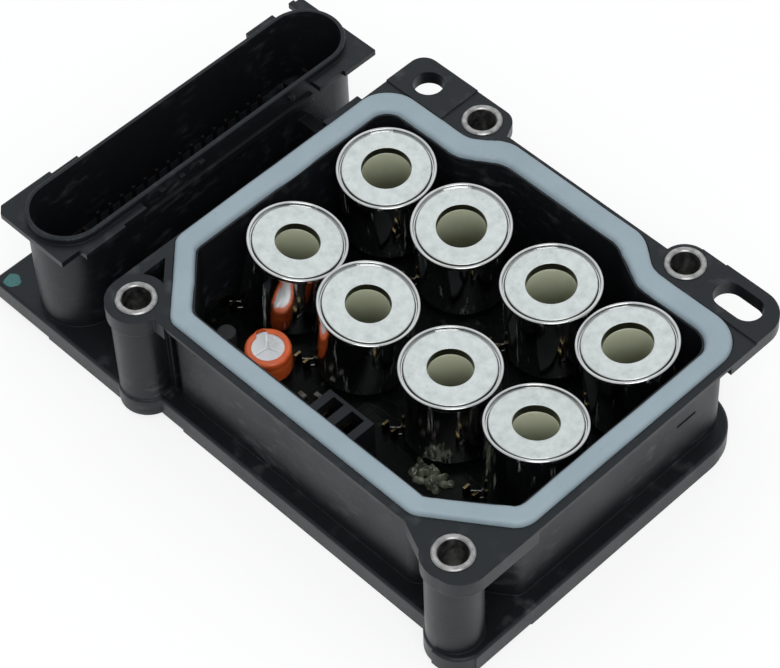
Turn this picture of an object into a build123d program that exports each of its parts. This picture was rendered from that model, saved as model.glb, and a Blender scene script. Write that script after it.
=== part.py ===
from build123d import *
import math
import os

# Control module of an anti-lock brake unit, lying on its base cover with the coil side up.
# A moulded housing carries eight solenoid coils, a seal round them, four fixing bushes and an open
# plug socket along its left side. Lengths are in millimetres and angles in degrees.
# The origin is on the clamping face, midway between the two front bushes. +X runs to the right along
# the coil rows, +Y to the rear row of bushes and +Z out of the clamping face, towards the valve block.

# Fixing bushes
FRONT_PITCH = 91.4
REAR_PITCH = 58.4
ROW_PITCH = 85.0
BUSH_OUTER_D = 9.0
BUSH_BORE_D = 6.2
BUSH_CHAMFER = 0.5
BUSH_FIT = 0.05

# Levels, measured down from the clamping face
LAND_DROP = 0.4
FLANGE_T = 2.7
BRIM_T = 1.0
EAR_T = 3.1
CORNER_PLATE_T = 4.2
BOARD_TOP_DEPTH = 21.2
FOOT_TOP_DEPTH = 26.6
FOOT_T = 4.8
COVER_T = 1.6

# Seal, a bead of uneven width that goes round two cut corners and in front of the rear bushes
SEAL_OVERHANG = 6.35
SEAL_FRONT_Y = 0.55
SEAL_BUSH_GAP = 1.5
SEAL_BACK_LAND = 0.9
SEAL_W_FRONT = 4.65
SEAL_W_RIGHT = 4.5
SEAL_W_REAR = 5.5
SEAL_W_LEFT = 5.35
OUTER_CUTS = (15.9, 15.9, 18.4, 13.05)
INNER_CUTS = (12.4, 12.4, 14.9, 11.2)
OUTER_BENDS = (3.4, 10.45, 8.7, 2.4)
INNER_BENDS = (2.9, 13.5, 12.3, 3.6)
OUTER_RADII = (4.0, 5.5, 6.0, 8.3, 7.1, 7.9, 7.6, 7.6, 8.5, 4.0)
INNER_RADII = (4.0, 4.0, 3.0, 5.5, 7.0, 7.0, 7.0, 7.0, 4.5, 3.0)
SEAL_PROUD = 1.3
SEAL_DEPTH = 1.1
SEAL_SIDE_GAP = 0.12
SEAL_ROUND = 1.1

# Housing walls
LAND_RIM = 1.75
LEFT_TRIM = 0.35
BRIM_OUT = 0.85
LIP_W = 0.4
WALL_INSET = 2.35
WALL_FRONT_INSET = 1.2
WALL_CUTS = (12.8, 13.9, 18.2, 12.9)
WALL_RADII = (2.5, 3.5, 3.0, 5.0, 7.1, 7.9, 7.6, 7.6, 6.0, 3.0)
POST_R = 6.0
POST_PLATE_R = 6.7
POST_CORNER_R = 6.4
REAR_BOSS_R = 5.35
ARM_W = 2.7
WEB_T = 2.0
WEB_FRONT_Y = 2.0
REAR_BOSS_CORNER = 4.6
REAR_BOSS_SIDE = 7.3
REAR_BOSS_ROUND = 4.0
MARK_Y = 63.3
MARK_DEPTH = 14.3
MARK_L = 5.6
MARK_H = 0.7
MARK_CUT = 0.5

# Ears at the rear, each with a raised pad round its hole
EAR_REACH = 5.5
EAR_FRONT = 7.6
EAR_LEFT_R = 3.7
EAR_RIGHT_R = 6.9
EAR_HOLE_D = 6.9
EAR_HOLE_X = -45.0
SLOT_X = 44.0
SLOT_LENGTH = 11.7
EAR_HOLE_BACK = 0.4
PAD_INNER_X = 35.8

# Foot flange and the base cover under it
FOOT_FRONT_Y = -2.0
FOOT_SIDE_IN = 0.3
FOOT_BACK_Y = 79.8
FOOT_CORNER_R = 11.0
FOOT_LOBE = 0.4
FOOT_EDGE_ROUND = 0.7
BASE_LEFT_X = -90.7
BASE_FRONT_Y = -5.3
BASE_CORNER_R = 1.5
CHAMBER_WALL = 3.2
CHAMBER_ROOF_T = 2.0
COVER_INSET = 0.45
COVER_NOTCH_LEFT = 4.3
COVER_NOTCH_RIGHT = 19.7
COVER_NOTCH_CUT = 7.7
COVER_NOTCH_BACK = 15.0
COVER_REAR_NOTCH_R = 8.6
COVER_CORNER_X = 18.0
COVER_CORNER_Y = 11.0

# Plug socket
SOCKET_X = -73.2
SOCKET_FRONT_Y = 5.6
SOCKET_BACK_Y = 74.1
SOCKET_R = 9.2
SOCKET_WALL = 1.0
SOCKET_RISE = 2.0
SOCKET_RIM_ROUND = 0.35
SOCKET_FLOOR_DEPTH = 18.0
SOCKET_FLOOR_T = 2.0
COLLAR_TOP = 0.3
COLLAR_T = 1.5
COLLAR_LEFT = 11.8
COLLAR_RIGHT = 9.6
COLLAR_NEAR = 10.3
COLLAR_FAR = 9.4
COLLAR_RAIL_START = 5.3
COLLAR_RAIL_END = 5.7
COLLAR_NEAR_END = 12.2
COLLAR_STEP = 4.7
COLLAR_FAR_END = 6.8
RAIL_OUT = 11.7
RAIL_NARROW = 11.0
LATCH_OUT = 12.8
LEDGE_OUT = 0.6
LEDGE_DEPTH = 3.4
LEDGE_H = 2.2
NUB_W = 1.4
NUB_OUT = 0.7
NUBS_Y = (61.2, 34.9, 29.2, 23.6)
DUCT_Y = 64.5
DUCT_W = 3.0
DUCT_TOP_DEPTH = 9.0
BLOCK_W = 3.6
BLOCK_FRONT_Y = 63.0
BLOCK_BACK_Y = 73.5

# Plug pins
PIN_W = 0.7
PIN_TOP_DEPTH = 10.0
PIN_PITCH = 3.4
PIN_ROW_PITCH = 6.4
PIN_END_GAP = 9.5
BLADE_W = 4.8
BLADE_T = 0.8
BLADE_PITCH = 5.5

# Coils. They stand on the board in a regular grid, and each leans by its own angles along x and y
COLUMNS_X = (-35.65, -13.0, 13.2, 36.5)
REAR_ROW_Y = 62.45
FRONT_ROW_Y = 31.85
SEAT_DEPTH = 20.0
REAR_LEANS = ((4.4, -4.4), (5.1, -6.1), (-0.4, -1.6), (-4.7, -3.6))
FRONT_LEANS = ((8.0, 5.3), (8.0, 0.7), (1.1, 0.1), (-2.6, 5.4))
COIL_RIM_R = 10.8
COIL_CAN_R = 10.4
COIL_WALL = 0.9
COIL_BOARD_GAP = 1.7
COIL_RIM_H = 1.3
RIM_ROUND = 0.5
WASHER_R = 9.7
WASHER_T = 1.9
WASHER_DROP = 0.25
WASHER_GAP = 0.1
REAR_BORE_D = 10.7
FRONT_BORE_D = 9.6
BOBBIN_T = 0.9
BOBBIN_STEP = 0.2
BOBBIN_GAP = 0.15
WINDING_R = 9.1
SEAT_GAP = 0.05

# Circuit board and what stands on it
BOARD_T = 1.6
BOARD_GAP = 0.25
LEDGE_W = 1.4
LEDGE_T = 1.8
CAP_X = -26.2
CAP_Y = 17.6
CAP_D = 10.0
CAP_H = 6.6
CAP_SLEEVE_T = 0.3
CAP_TOP_R = 3.5
CAP_GROOVE_H = 1.2
CAP_GROOVE_D = 0.35
PEG_X = -34.8
PEG_Y = 13.8
PEG_R = 2.1
PEG_H = 7.2
TAB_OFFSET = (-8.0, -9.6)
TAB_PITCH = 2.6
TAB_T = 0.6
TAB_W = 1.6
TAB_H = 3.0
LEAD_D = 0.4
CHIP_SIZE = 8.4
CHIP_H = 1.4
CHIP_X = -24.3
CHIP_Y = 47.1
DRIVER_X = 24.8
DRIVER_W = 12.0
TRANSISTOR_W = 6.0
TRANSISTOR_L = 6.6
TRANSISTOR_H = 2.2
TRANSISTOR_PITCH = 7.4
SMALL_PART = (1.8, 1.0, 0.7)
BEAD_R = 1.5

# Socket for the pump motor's two blades
HOLDER_LEFT_X = -6.0
HOLDER_W = 12.9
HOLDER_L = 10.6
HOLDER_GAP = 0.3
HOLDER_TOP_DEPTH = 10.5
HOLDER_SIDE = 2.0
HOLDER_BACK = 0.9
HOLDER_FRONT = 2.6
HOLDER_LEFT_POCKET = 3.0
HOLDER_RIGHT_POCKET = 3.6
HOLDER_FLOOR_T = 1.7
CONTACT_T = 0.5
CONTACT_H = 6.5
CONTACT_GAP = 0.1

EPS = 0.01

front_x = FRONT_PITCH / 2
rear_x = REAR_PITCH / 2
land_z = -LAND_DROP
flange_bottom_z = land_z - FLANGE_T
ear_bottom_z = land_z - EAR_T
board_top_z = -BOARD_TOP_DEPTH
board_bottom_z = board_top_z - BOARD_T
foot_top_z = -FOOT_TOP_DEPTH
foot_bottom_z = foot_top_z - FOOT_T
seal_right = front_x + SEAL_OVERHANG
seal_left = -seal_right
shoulder_y = ROW_PITCH - BUSH_OUTER_D / 2 - SEAL_BUSH_GAP
seal_back_y = ROW_PITCH - SEAL_BACK_LAND / 2
housing_right = seal_right + LAND_RIM
housing_left = seal_left - LEFT_TRIM
wall_right = seal_right - WALL_INSET
ear_back_y = ROW_PITCH + EAR_REACH
foot_right_x = housing_right - FOOT_SIDE_IN
chamber_top_z = foot_bottom_z + FOOT_T - CHAMBER_ROOF_T
coil_h = BOARD_TOP_DEPTH - COIL_BOARD_GAP
holder_floor_z = board_top_z + HOLDER_FLOOR_T


def slab(face, low, high):
    """A plan outline drawn on z = 0, raised to the block between two levels."""
    return extrude(Pos(0, 0, low) * face, high - low)


def rounded(points):
    """A closed plan outline from corners given as x, y and the radius of each."""
    line = FilletPolyline(*[(x, y) for x, y, r in points], radius=[r for x, y, r in points], close=True)
    return make_face(line)


def corners(*points):
    """A closed plan outline with sharp corners."""
    return make_face(Polyline(*points, close=True))


def rectangle(left, front, right, back):
    return Pos((left + right) / 2, (front + back) / 2) * Rectangle(right - left, back - front)


def disc(x, y, radius):
    return Pos(x, y) * Circle(radius)


def round_top(body, radius):
    """The body with the edges of its highest face rounded."""
    return fillet(body.edges().group_by(Axis.Z)[-1], radius)


def bush_places():
    """Each bush's x and y, and the radius of the post round it."""
    return (
        (-front_x, 0, POST_R),
        (front_x, 0, POST_R),
        (-rear_x, ROW_PITCH, REAR_BOSS_R),
        (rear_x, ROW_PITCH, REAR_BOSS_R),
    )


def seal_line(left, front, right, shoulder, back, cuts, bends, radii):
    """One edge of the seal, from its five sides, its two cut corners and the bends at the rear."""
    points = (
        (left + cuts[0], front),
        (right - cuts[2], front),
        (right, front + cuts[3]),
        (right, shoulder),
        (rear_x - bends[0], shoulder),
        (rear_x - bends[1], back),
        (-rear_x + bends[2], back),
        (-rear_x + bends[3], shoulder),
        (left, shoulder),
        (left, front + cuts[1]),
    )
    return rounded([(x, y, radius) for (x, y), radius in zip(points, radii)])


seal_out = seal_line(
    seal_left, SEAL_FRONT_Y, seal_right, shoulder_y, seal_back_y, OUTER_CUTS, OUTER_BENDS, OUTER_RADII)
seal_in = seal_line(
    seal_left + SEAL_W_LEFT, SEAL_FRONT_Y + SEAL_W_FRONT, seal_right - SEAL_W_RIGHT,
    shoulder_y - SEAL_W_REAR, seal_back_y - SEAL_W_REAR, INNER_CUTS, INNER_BENDS, INNER_RADII)
cavity = offset(seal_in, -LIP_W)
wall = seal_line(
    seal_left + WALL_INSET, SEAL_FRONT_Y + WALL_FRONT_INSET, wall_right, shoulder_y - WALL_INSET,
    seal_back_y - WALL_INSET, WALL_CUTS, OUTER_BENDS, WALL_RADII)
flange = offset(seal_out, LAND_RIM) & rectangle(
    housing_left, SEAL_FRONT_Y - LAND_RIM, housing_right, seal_back_y + SEAL_BACK_LAND)


def gasket():
    """Moulded seal bead, rounded along both upper edges, that stands proud of the clamping face."""
    bead = offset(seal_out, -SEAL_SIDE_GAP) - offset(seal_in, SEAL_SIDE_GAP)
    return round_top(slab(bead, land_z - SEAL_DEPTH, land_z + SEAL_PROUD), SEAL_ROUND)


def corner_plates():
    """The plates at the two cut corners. The left one is a boss and an arm with a gap between them,
    and the right one fills its corner."""
    front = SEAL_FRONT_Y - LAND_RIM
    left = disc(-front_x, 0, POST_PLATE_R)
    left += rectangle(housing_left, 0, housing_left + ARM_W, SEAL_FRONT_Y + OUTER_CUTS[1] + LAND_RIM)
    left += corners(
        (-front_x, front),
        (seal_left + OUTER_CUTS[0], front),
        (seal_left + OUTER_CUTS[0], front + POST_R),
        (-front_x + POST_R - WEB_T, front + POST_R),
    )
    right = disc(front_x, 0, POST_PLATE_R) + rounded([
        (front_x, -POST_CORNER_R, 0),
        (housing_right, -POST_CORNER_R, POST_CORNER_R),
        (housing_right, SEAL_FRONT_Y + OUTER_CUTS[3] + LAND_RIM, 0),
        (seal_right - OUTER_CUTS[2], front, 0),
    ])
    return left + right


def ears():
    """The rear ears: a rounded outer corner each, and an arc concentric with the bush."""
    front = shoulder_y - EAR_FRONT
    left = rounded([
        (housing_left, front, 0),
        (-rear_x, front, 0),
        (-rear_x, ear_back_y, 0),
        (housing_left, ear_back_y, EAR_LEFT_R),
    ])
    right = rounded([
        (housing_right, front, 0),
        (housing_right, ear_back_y, EAR_RIGHT_R),
        (rear_x, ear_back_y, 0),
        (rear_x, front, 0),
    ])
    fairing = rounded([
        (-rear_x, shoulder_y, 0),
        (-rear_x, ear_back_y, 0),
        (-rear_x + REAR_BOSS_CORNER, ear_back_y, REAR_BOSS_ROUND),
        (-rear_x + REAR_BOSS_SIDE, ROW_PITCH, 0),
        (-rear_x + REAR_BOSS_SIDE, shoulder_y, 0),
    ])
    straight = rectangle(rear_x - OUTER_BENDS[1], shoulder_y, rear_x, seal_back_y + SEAL_BACK_LAND)
    return left + right + fairing + straight + disc(rear_x, ROW_PITCH, REAR_BOSS_R)


def ear_pads():
    """The outer part of each ear, which stands up to the clamping face."""
    left = rectangle(housing_left, shoulder_y, -PAD_INNER_X, ear_back_y)
    right = rectangle(PAD_INNER_X, shoulder_y, housing_right, ear_back_y)
    return (left + right) & ears()


def ear_holes():
    y = ROW_PITCH - EAR_HOLE_BACK
    return disc(EAR_HOLE_X, y, EAR_HOLE_D / 2) + Pos(SLOT_X, y) * SlotOverall(SLOT_LENGTH, EAR_HOLE_D)


def foot_plate(inset=0):
    """The base flange and the plate that carries the plug socket, drawn in by an inset."""
    left = BASE_LEFT_X + inset
    right = foot_right_x - inset
    front = FOOT_FRONT_Y + inset
    back = FOOT_BACK_Y - inset
    return rounded([
        (left, BASE_FRONT_Y + inset, BASE_CORNER_R),
        (-front_x, BASE_FRONT_Y + inset, 0),
        (-front_x, front, 0),
        (right, front, 0),
        (right, back, FOOT_CORNER_R - inset),
        (left, back, BASE_CORNER_R),
    ])


def foot_outline(inset=0):
    """The foot plate with a lobe round each bush, the front right one squared to the corner."""
    face = foot_plate(inset)
    for x, y, radius in bush_places():
        face += disc(x, y, radius + FOOT_LOBE - inset)
    corner = POST_R + 2 * FOOT_LOBE - inset
    return face + rounded([
        (front_x, -corner, 0),
        (foot_right_x - inset, -corner, corner),
        (foot_right_x - inset, corner, 0),
        (front_x, corner, 0),
    ])


def socket_outline(radius):
    """A stadium with its round ends at the ends of the plug socket."""
    length = SOCKET_BACK_Y - SOCKET_FRONT_Y
    middle = (SOCKET_BACK_Y + SOCKET_FRONT_Y) / 2
    return Pos(SOCKET_X, middle) * SlotOverall(length + 2 * radius, 2 * radius, rotation=90)


def collar():
    """The plates and strips round the socket's mouth, which the plug's locking slide grips."""
    left = SOCKET_X - COLLAR_LEFT
    right = SOCKET_X + COLLAR_RIGHT
    near = SOCKET_FRONT_Y - COLLAR_NEAR
    far = SOCKET_BACK_Y + COLLAR_FAR
    rail = SOCKET_X + RAIL_OUT
    narrow = SOCKET_X + RAIL_NARROW
    latch = SOCKET_X + LATCH_OUT
    near_plate = corners(
        (left, SOCKET_FRONT_Y + COLLAR_STEP),
        (left, near + 1.5),
        (left + 1.7, near),
        (right, near),
        (right, SOCKET_FRONT_Y - COLLAR_RAIL_START),
        (rail, SOCKET_FRONT_Y - COLLAR_RAIL_START),
        (rail, SOCKET_FRONT_Y + COLLAR_RAIL_END),
        (narrow, SOCKET_FRONT_Y + COLLAR_RAIL_END),
        (narrow, SOCKET_FRONT_Y + COLLAR_NEAR_END),
        (SOCKET_X, SOCKET_FRONT_Y + COLLAR_NEAR_END),
        (left + 0.8, SOCKET_FRONT_Y + COLLAR_NEAR_END - 0.5),
        (left + 0.8, SOCKET_FRONT_Y + COLLAR_STEP),
    )
    far_plate = corners(
        (left + 1.0, far),
        (left + 1.0, SOCKET_BACK_Y + 7.7),
        (left + 0.3, SOCKET_BACK_Y + 7.7),
        (left + 0.3, SOCKET_BACK_Y + 6.2),
        (SOCKET_X, SOCKET_BACK_Y + 6.2),
        (SOCKET_X, SOCKET_BACK_Y + 1.2),
        (left + 0.3, SOCKET_BACK_Y + 1.2),
        (left + 0.3, SOCKET_BACK_Y - COLLAR_FAR_END),
        (latch - 0.7, SOCKET_BACK_Y - COLLAR_FAR_END),
        (latch - 0.7, SOCKET_BACK_Y + 0.2),
        (latch, SOCKET_BACK_Y + 0.2),
        (latch, far),
    )
    return slab(near_plate + far_plate, COLLAR_TOP - COLLAR_T, COLLAR_TOP)


def plug_socket():
    """The shroud of the plug socket, with its collar, nubs, side ledge and the duct to the wall."""
    body = round_top(slab(socket_outline(SOCKET_R), foot_top_z, SOCKET_RISE), SOCKET_RIM_ROUND)
    body += collar()
    nub_low = COLLAR_TOP - COLLAR_T
    shroud_left = SOCKET_X - SOCKET_R
    shroud_right = SOCKET_X + SOCKET_R
    for y in NUBS_Y:
        row = rectangle(shroud_left - NUB_OUT, y - NUB_W / 2, SOCKET_X, y + NUB_W / 2)
        row += rectangle(SOCKET_X, y - NUB_W / 2, shroud_right + NUB_OUT, y + NUB_W / 2)
        body += slab(row, nub_low, COLLAR_TOP)
    ledge_back = SOCKET_BACK_Y - COLLAR_FAR_END
    ledge = rectangle(SOCKET_X, SOCKET_FRONT_Y + COLLAR_NEAR_END, shroud_right + LEDGE_OUT, ledge_back)
    body += slab(ledge, -LEDGE_DEPTH - LEDGE_H, -LEDGE_DEPTH)
    duct = rectangle(SOCKET_X, DUCT_Y - DUCT_W / 2, seal_left + SEAL_W_LEFT, DUCT_Y + DUCT_W / 2)
    body += slab(duct, foot_top_z, -DUCT_TOP_DEPTH)
    block = rectangle(housing_left - BLOCK_W, BLOCK_FRONT_Y, seal_left + SEAL_W_LEFT, BLOCK_BACK_Y)
    body += slab(block, foot_top_z, ear_bottom_z)
    return body


def socket_hollow():
    """The space inside the shroud, and the space under its floor."""
    inner = socket_outline(SOCKET_R - SOCKET_WALL)
    hollow = slab(inner, -SOCKET_FLOOR_DEPTH, SOCKET_RISE + EPS)
    under = slab(socket_outline(SOCKET_R - 2 * SOCKET_WALL), foot_bottom_z, -SOCKET_FLOOR_DEPTH - SOCKET_FLOOR_T)
    return hollow, under


def posts():
    """A post round each bush, and the web that ties each one to the wall."""
    body = Part()
    for x, y, radius in bush_places():
        body += slab(disc(x, y, radius), foot_bottom_z, land_z)
    back = SEAL_FRONT_Y + SEAL_W_FRONT + OUTER_CUTS[3] / 2
    for side in (-1, 1):
        middle = side * (front_x - POST_R)
        web = rectangle(middle - WEB_T / 2, WEB_FRONT_Y, middle + WEB_T / 2, back)
        body += slab(web, foot_top_z, land_z)
        middle = side * rear_x
        web = rectangle(middle - WEB_T / 2, shoulder_y - SEAL_W_REAR, middle + WEB_T / 2, ROW_PITCH)
        body += slab(web, foot_top_z, land_z)
    return body


def housing():
    """One moulding: sealing flange, walls, posts, ears, foot, and the plug socket beside them."""
    body = slab(flange, land_z - BRIM_T, land_z)
    body += slab(offset(flange, -BRIM_OUT), flange_bottom_z, land_z)
    body += slab(corner_plates(), land_z - CORNER_PLATE_T, land_z)
    body += slab(ears(), ear_bottom_z, land_z)
    body += slab(ear_pads(), land_z, 0)
    body += slab(wall, foot_bottom_z, land_z)
    body += round_top(slab(foot_outline(), foot_bottom_z, foot_top_z), FOOT_EDGE_ROUND)
    body += posts()
    body += plug_socket()
    hollow, under = socket_hollow()
    chamber = slab(foot_plate(CHAMBER_WALL), foot_bottom_z - EPS, chamber_top_z)
    for x, y, radius in bush_places():
        chamber -= slab(disc(x, y, radius), foot_bottom_z - 1, chamber_top_z + 1)
    body -= chamber + under
    body -= hollow
    body -= slab(cavity, foot_bottom_z - EPS, land_z + EPS)
    ledge = offset(cavity, EPS) - offset(cavity, -LEDGE_W)
    body += slab(ledge, board_bottom_z - LEDGE_T, board_bottom_z)
    body -= slab(seal_out - seal_in, land_z - SEAL_DEPTH, land_z + EPS)
    for x, y, radius in bush_places():
        body -= slab(disc(x, y, BUSH_OUTER_D / 2 + BUSH_FIT), foot_bottom_z - EPS, land_z + EPS)
    body -= slab(ear_holes(), ear_bottom_z - EPS, EPS)
    mark = Pos(wall_right, MARK_Y, -MARK_DEPTH) * Box(2 * MARK_CUT, MARK_L, MARK_H)
    return body - mark


def base_cover():
    """Pressed lid under the foot flange, cut back at its corners and round the bushes."""
    face = foot_outline(COVER_INSET)
    low = BASE_FRONT_Y - POST_R
    face -= corners(
        (-front_x - COVER_NOTCH_LEFT, low),
        (-front_x - COVER_NOTCH_LEFT, POST_R / 2),
        (-front_x, POST_R + FOOT_LOBE),
        (-front_x + POST_R, POST_R + FOOT_LOBE),
        (-front_x + COVER_NOTCH_RIGHT, low),
    )
    face -= corners(
        (front_x - COVER_NOTCH_CUT, FOOT_FRONT_Y),
        (foot_right_x, COVER_NOTCH_BACK),
        (foot_right_x + POST_R, low),
        (front_x - COVER_NOTCH_CUT, low),
    )
    face -= corners(
        (BASE_LEFT_X, BASE_FRONT_Y + COVER_CORNER_Y),
        (BASE_LEFT_X + COVER_CORNER_X, BASE_FRONT_Y),
        (BASE_LEFT_X, low),
    )
    for side in (-1, 1):
        face -= disc(side * rear_x, ROW_PITCH, COVER_REAR_NOTCH_R)
    return slab(face, foot_bottom_z - COVER_T, foot_bottom_z)


def bush():
    """Steel compression sleeve, drawn on its own axis with its top at the clamping face."""
    tube = slab(Circle(BUSH_OUTER_D / 2) - Circle(BUSH_BORE_D / 2), foot_bottom_z, 0)
    rims = tube.edges().filter_by(GeomType.CIRCLE).group_by(Axis.Z)
    return chamfer(rims[-1] + rims[0], min(BUSH_CHAMFER, (BUSH_OUTER_D - BUSH_BORE_D) / 5))


def coil_place(column, row, lean):
    """The frame of a leaning coil: its origin in the middle of the top face, its z along the axis."""
    slope_x = math.tan(math.radians(lean[0]))
    slope_y = math.tan(math.radians(lean[1]))
    origin = (column + SEAT_DEPTH * slope_x, row + SEAT_DEPTH * slope_y, 0)
    return Location(Plane(origin=origin, x_dir=(1, 0, -slope_x), z_dir=(slope_x, slope_y, 1)))


def revolved(points):
    """A body of revolution round z from its half section, given as radius and height pairs."""
    return revolve(Plane.XZ * corners(*points), Axis.Z)


def coil_can(bore_d):
    """Deep-drawn steel cup with its open end rolled over the washer and a holed bottom."""
    inner = COIL_CAN_R - COIL_WALL
    lip = WASHER_R + WASHER_GAP
    hole = bore_d / 2 + BOBBIN_STEP + BOBBIN_T + BOBBIN_GAP
    seat = -WASHER_DROP - WASHER_T
    return revolved([
        (hole, -coil_h),
        (COIL_CAN_R - RIM_ROUND, -coil_h),
        (COIL_CAN_R, -coil_h + RIM_ROUND),
        (COIL_CAN_R, -COIL_RIM_H),
        (COIL_RIM_R, -COIL_RIM_H + RIM_ROUND),
        (COIL_RIM_R, -RIM_ROUND),
        (COIL_RIM_R - RIM_ROUND, 0),
        (lip + RIM_ROUND / 2, 0),
        (lip, -RIM_ROUND / 2),
        (lip, seat),
        (inner, seat),
        (inner, -coil_h + COIL_WALL),
        (hole, -coil_h + COIL_WALL),
    ])


def coil_washer(bore_d):
    """Plated pole washer that closes the top of the cup."""
    top = -WASHER_DROP
    edge = WASHER_DROP
    return revolved([
        (bore_d / 2, top - WASHER_T),
        (WASHER_R, top - WASHER_T),
        (WASHER_R, top - edge),
        (WASHER_R - edge, top),
        (bore_d / 2 + edge, top),
        (bore_d / 2, top - edge),
    ])


def coil_bobbin(bore_d, place):
    """Moulded bobbin: a flanged tube for the winding, whose lower end is cut level on the board."""
    bore = bore_d / 2 + BOBBIN_STEP
    tube = bore + BOBBIN_T
    top = -WASHER_DROP - WASHER_T - BOBBIN_GAP
    low = -coil_h + COIL_WALL + BOBBIN_GAP
    foot = -BOARD_TOP_DEPTH - bore_d / 2
    body = place * revolved([
        (bore, foot),
        (tube, foot),
        (tube, low),
        (WINDING_R, low),
        (WINDING_R, low + BOBBIN_T),
        (tube, low + BOBBIN_T),
        (tube, top - BOBBIN_T),
        (WINDING_R, top - BOBBIN_T),
        (WINDING_R, top),
        (bore, top),
    ])
    middle = place.position
    return body - slab(disc(middle.X, middle.Y, 3 * COIL_CAN_R), 2 * foot, board_top_z + SEAT_GAP)


def coil_winding(bore_d):
    """The wound copper, between the bobbin's flanges."""
    tube = bore_d / 2 + BOBBIN_STEP + BOBBIN_T + BOBBIN_GAP
    top = -WASHER_DROP - WASHER_T - 2 * BOBBIN_GAP - BOBBIN_T
    low = -coil_h + COIL_WALL + 2 * BOBBIN_GAP + BOBBIN_T
    return slab(Circle(WINDING_R) - Circle(tube), low, top)


def circuit_board():
    """The board that closes the coil chamber and rests on the ledge in the walls."""
    return slab(offset(cavity, -BOARD_GAP), board_bottom_z, board_top_z)


def capacitor_section(radius, top):
    """Half section of the capacitor to the given radius, with the rolled groove near its top."""
    low = top - 2 * CAP_GROOVE_H
    return [
        (0, board_top_z),
        (radius, board_top_z),
        (radius, low),
        (radius - CAP_GROOVE_D, low + CAP_GROOVE_H / 2),
        (radius, low + CAP_GROOVE_H),
        (radius, top - CAP_GROOVE_D),
        (radius - CAP_GROOVE_D, top),
        (0, top),
    ]


def capacitor_can():
    """Aluminium can of the motor capacitor, with the score of its vent across the top."""
    top = board_top_z + CAP_H - CAP_SLEEVE_T
    body = revolved(capacitor_section(CAP_D / 2 - CAP_SLEEVE_T, top))
    score = Box(2 * CAP_TOP_R, CAP_SLEEVE_T, CAP_SLEEVE_T) + Box(CAP_SLEEVE_T, 2 * CAP_TOP_R, CAP_SLEEVE_T)
    return Pos(CAP_X, CAP_Y) * (body - Pos(0, 0, top) * score)


def capacitor_sleeve():
    """Shrunk plastic sleeve round the can, turned in over the rim of its top."""
    body = revolved(capacitor_section(CAP_D / 2, board_top_z + CAP_H))
    body -= revolved(capacitor_section(CAP_D / 2 - CAP_SLEEVE_T, board_top_z + CAP_H - CAP_SLEEVE_T))
    return Pos(CAP_X, CAP_Y) * (body - slab(Circle(CAP_TOP_R), board_top_z, 0))


def board_peg():
    """Round moulded peg that stands on the board."""
    body = slab(disc(PEG_X, PEG_Y, PEG_R), board_top_z, board_top_z + PEG_H)
    return round_top(body, PEG_R / 5)


def holder_front():
    return SEAL_FRONT_Y + SEAL_W_FRONT + LIP_W + HOLDER_GAP


def holder_pockets():
    """The plan of the motor socket's two pockets."""
    front = holder_front() + HOLDER_FRONT
    back = holder_front() + HOLDER_L - HOLDER_BACK
    left = HOLDER_LEFT_X + HOLDER_SIDE
    right = HOLDER_LEFT_X + HOLDER_W - HOLDER_SIDE
    return (
        (left, front, left + HOLDER_LEFT_POCKET, back),
        (right - HOLDER_RIGHT_POCKET, front, right, back),
    )


def motor_socket():
    """Moulded block with two pockets open at the top, one with a step in its front wall."""
    front = holder_front()
    face = rectangle(HOLDER_LEFT_X, front, HOLDER_LEFT_X + HOLDER_W, front + HOLDER_L)
    body = slab(face, board_top_z, -HOLDER_TOP_DEPTH)
    for left, low, right, high in holder_pockets():
        body -= slab(rectangle(left, low, right, high), holder_floor_z, -HOLDER_TOP_DEPTH + EPS)
    left, low, right, high = holder_pockets()[1]
    step = rectangle(left - HOLDER_BACK, low - HOLDER_BACK, right, low + HOLDER_BACK)
    return body - slab(step, -HOLDER_TOP_DEPTH - HOLDER_BACK, -HOLDER_TOP_DEPTH + EPS)


def motor_contacts():
    """Two folded contacts, one on the floor of each pocket, open at the top."""
    floor = holder_floor_z
    group = []
    for left, low, right, high in holder_pockets():
        outer = rectangle(left + CONTACT_GAP, low + HOLDER_BACK, right - CONTACT_GAP, high - HOLDER_BACK)
        clip = slab(outer, floor, floor + CONTACT_H)
        inner = rectangle(left + CONTACT_GAP + CONTACT_T, low, right - CONTACT_GAP - CONTACT_T, high)
        group.append(clip - slab(inner, floor + CONTACT_T, floor + CONTACT_H + EPS))
    return group


def coil_seats():
    """Each coil's column and row on the board, its lean and its bore."""
    rows = ((REAR_ROW_Y, REAR_LEANS, REAR_BORE_D), (FRONT_ROW_Y, FRONT_LEANS, FRONT_BORE_D))
    return [(column, row, lean, bore_d) for row, leans, bore_d in rows for column, lean in zip(COLUMNS_X, leans)]


def coil_tabs():
    """Two tabs on the board beside each coil, where its wires are welded."""
    group = []
    for column, row, lean, bore_d in coil_seats():
        for side in (-0.5, 0.5):
            place = Pos(column + TAB_OFFSET[0] + side * TAB_PITCH, row + TAB_OFFSET[1])
            group.append(slab(place * Rectangle(TAB_T, TAB_W), board_top_z, board_top_z + TAB_H))
    return group


def coil_leads():
    """The two tinned wires of each coil, from the foot of its bobbin to its tabs."""
    group = []
    level = board_top_z + LEAD_D / 2 + SEAT_GAP
    for column, row, lean, bore_d in coil_seats():
        tube = bore_d / 2 + BOBBIN_STEP + BOBBIN_T
        for side in (-0.5, 0.5):
            x = column + TAB_OFFSET[0] + side * TAB_PITCH
            y = row + TAB_OFFSET[1] + TAB_W / 2 + LEAD_D
            reach = Vector(column - x, row - y)
            length = reach.length - tube - LEAD_D
            wire = Cylinder(LEAD_D / 2, length, align=(Align.CENTER, Align.CENTER, Align.MIN))
            group.append(Plane(origin=(x, y, level), z_dir=reach).location * wire)
    return group


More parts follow.
